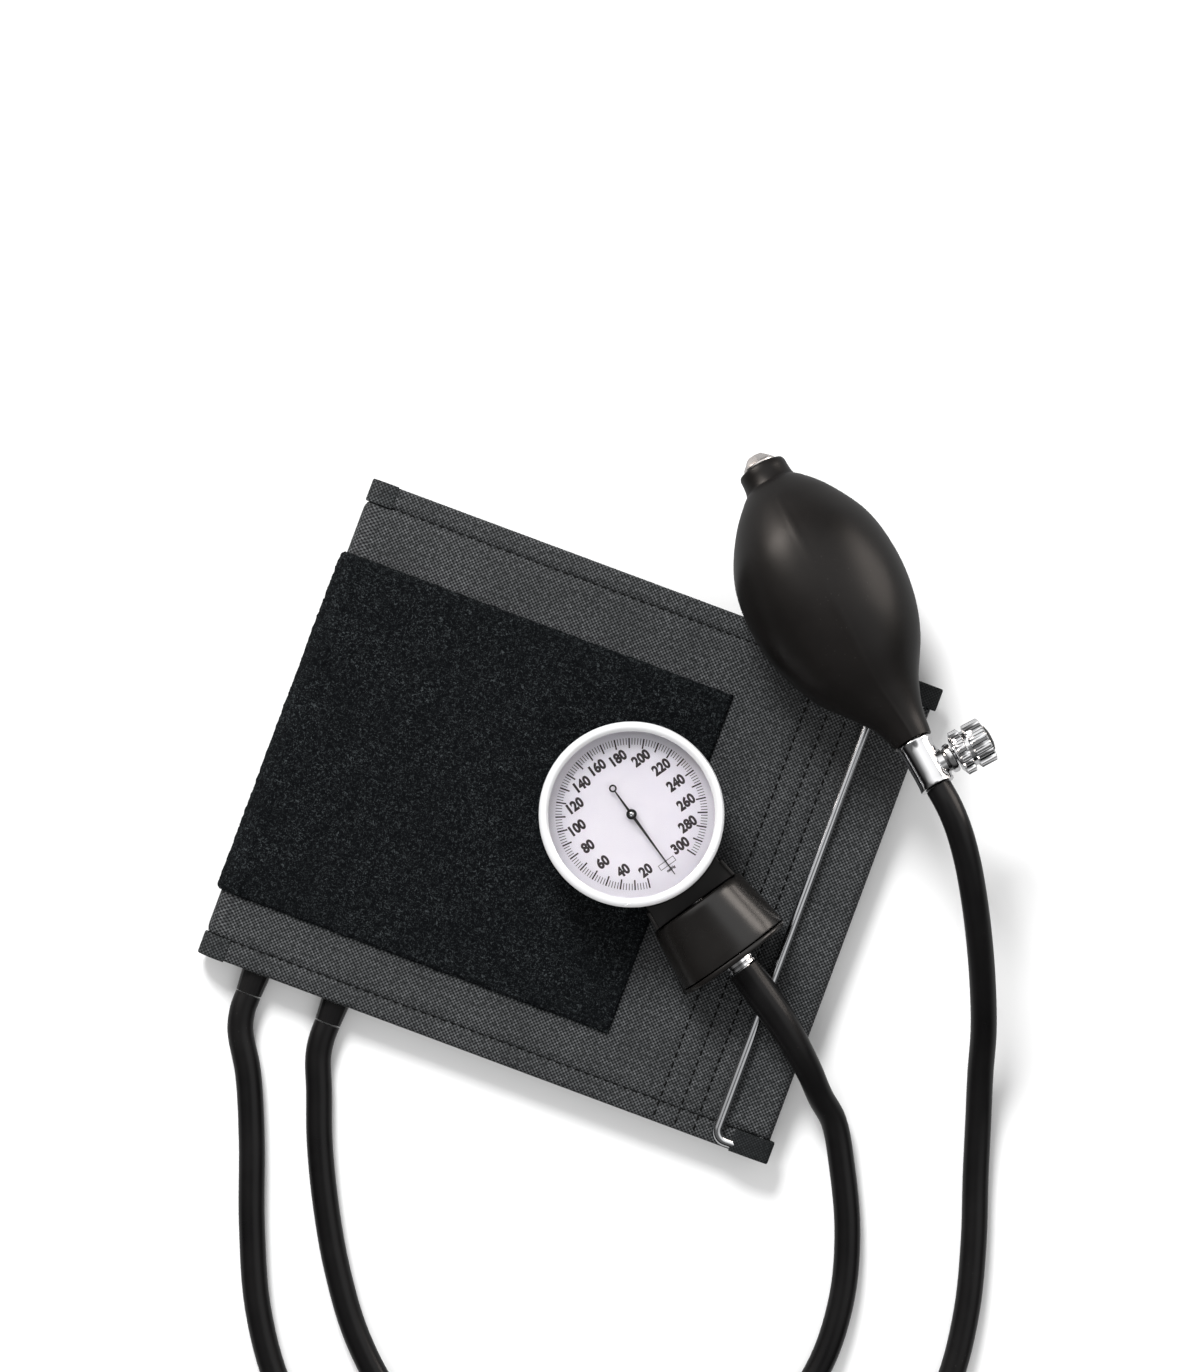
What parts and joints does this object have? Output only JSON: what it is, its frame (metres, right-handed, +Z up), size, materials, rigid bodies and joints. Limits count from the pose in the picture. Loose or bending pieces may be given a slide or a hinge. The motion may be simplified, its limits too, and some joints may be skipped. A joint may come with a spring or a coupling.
{
  "type": "blood pressure cuff",
  "caption": "Aneroid blood pressure cuff: rolled nylon cuff with D-ring and loop patch, dial gauge in a holder, squeeze bulb with screw release valve, and hoses to the bladder",
  "frame": {"origin": "middle of the rolled cuff's underside, on the surface that it lies on", "axes": "+X along the cuff to its ring end, +Y across the cuff, +Z up out of the surface"},
  "size_m": [0.2483, 0.3288, 0.0518],
  "materials": {
    "cuff_outer_panel": "charcoal woven nylon",
    "cuff_lining": "charcoal woven nylon",
    "bladder": "dark sheet rubber",
    "tube_port_a": "black moulded rubber",
    "tube_port_b": "black moulded rubber",
    "loop_patch": "near-black brushed loop pile",
    "hook_patch": "black moulded hook tape",
    "top_hem": "folded nylon hem",
    "bottom_hem": "folded nylon hem",
    "ring_sleeve": "charcoal woven nylon",
    "d_ring": "bright plated wire",
    "gauge_hose": "black semi-gloss tube",
    "bulb_hose": "black semi-gloss tube",
    "gauge_housing": "dark plated case",
    "gauge_bezel": "bright polished plating",
    "gauge_crystal": "clear lens",
    "crystal_gasket": "black seal",
    "gauge_dial": "pale printed dial",
    "inlet_block": "machined brass",
    "diaphragm_capsule": "corrugated thin metal",
    "push_pin": "ground steel",
    "movement_plate": "stamped brass",
    "movement_bridge": "stamped brass",
    "rocker_shaft": "ground steel",
    "sector_gear": "cut brass",
    "pinion_arbor": "ground steel",
    "hairspring": "blued spring",
    "gauge_pointer": "satin black",
    "gauge_stem": "plated tube",
    "holder_neck": "black moulding",
    "gauge_holder": "glossy black moulding",
    "holder_end_cap": "glossy black moulding",
    "holder_clip": "black spring plate",
    "stem_collar": "plated ring",
    "bulb": "satin black-brown rubber",
    "inlet_valve_body": "plated, facetted",
    "inlet_valve_ball": "polished ball",
    "valve_body": "bright plated barrel",
    "outlet_valve_ball": "polished ball",
    "valve_needle": "turned spindle",
    "valve_knob": "fluted plated knob",
    "knob_cap": "dark domed cap"
  },
  "bodies": {
    "cuff": {"cuff_outer_panel": "cuff_outer_panel", "cuff_lining": "cuff_lining", "bladder": "bladder", "tube_port_a": "tube_port_a", "tube_port_b": "tube_port_b", "loop_patch": "loop_patch", "hook_patch": "hook_patch", "top_hem": "top_hem", "bottom_hem": "bottom_hem", "ring_sleeve": "ring_sleeve", "d_ring": "d_ring", "gauge_hose": "gauge_hose", "bulb_hose": "bulb_hose", "gauge_housing": "gauge_housing", "gauge_bezel": "gauge_bezel", "gauge_crystal": "gauge_crystal", "crystal_gasket": "crystal_gasket", "gauge_dial": "gauge_dial", "inlet_block": "inlet_block", "diaphragm_capsule": "diaphragm_capsule", "movement_plate": "movement_plate", "movement_bridge": "movement_bridge", "hairspring": "hairspring", "gauge_stem": "gauge_stem", "holder_neck": "holder_neck", "gauge_holder": "gauge_holder", "holder_end_cap": "holder_end_cap", "holder_clip": "holder_clip", "stem_collar": "stem_collar", "bulb": "bulb", "inlet_valve_body": "inlet_valve_body", "valve_body": "valve_body"},
    "pointer": {"gauge_pointer": "gauge_pointer", "pinion_arbor": "pinion_arbor"},
    "sector": {"sector_gear": "sector_gear"},
    "rocker": {"rocker_shaft": "rocker_shaft"},
    "push_pin": {"push_pin": "push_pin"},
    "inlet_ball": {"inlet_valve_ball": "inlet_valve_ball"},
    "outlet_ball": {"outlet_valve_ball": "outlet_valve_ball"},
    "needle": {"valve_needle": "valve_needle"},
    "knob": {"valve_knob": "valve_knob", "knob_cap": "knob_cap"}
  },
  "joints": [
    {"name": "pointer_turn", "type": "hinge", "parent": "cuff", "child": "pointer", "pos_m": [0.0161, 0.0083, 0.0287], "axis": [0, 0, -1], "range_deg": [0, 339.4], "stiffness_Nm_per_rad": 0.000001, "springref_deg": -17.19},
    {"name": "sector_turn", "type": "hinge", "parent": "cuff", "child": "sector", "pos_m": [0.0233, 0.01912, 0.0236], "axis": [0, 0, 1], "range_deg": [0, 44.3]},
    {"name": "rocker_tilt", "type": "hinge", "parent": "cuff", "child": "rocker", "pos_m": [0.00945, -0.00169, 0.0237], "axis": [0.8323, -0.5543, 0], "range_deg": [0, 12.1]},
    {"name": "push_pin_rise", "type": "slide", "parent": "cuff", "child": "push_pin", "axis": [0, 0, 1], "range_m": [0, 0.0012]},
    {"name": "inlet_ball_lift", "type": "slide", "parent": "cuff", "child": "inlet_ball", "axis": [0.7322, -0.6399, 0.2334], "range_m": [0, 0.001]},
    {"name": "outlet_ball_lift", "type": "slide", "parent": "cuff", "child": "outlet_ball", "axis": [0.7322, -0.6399, 0.2334], "range_m": [0, 0.001]},
    {"name": "needle_travel", "type": "slide", "parent": "cuff", "child": "needle", "axis": [0.658, 0.753, 0], "range_m": [0, 0.00101]},
    {"name": "knob_turn", "type": "hinge", "parent": "needle", "child": "knob", "pos_m": [0.09703, 0.05796, 0.04106], "axis": [0.658, 0.753, 0], "range_deg": [0, 450]}
  ],
  "couplings": [
    {"joint": "rocker_tilt", "follows": "push_pin_rise", "rad_per_m": 174.53},
    {"joint": "sector_turn", "follows": "push_pin_rise", "rad_per_m": 642.86},
    {"joint": "pointer_turn", "follows": "push_pin_rise", "rad_per_m": 4930.6},
    {"joint": "needle_travel", "follows": "knob_turn", "m_per_rad": 0.00012732}
  ]
}
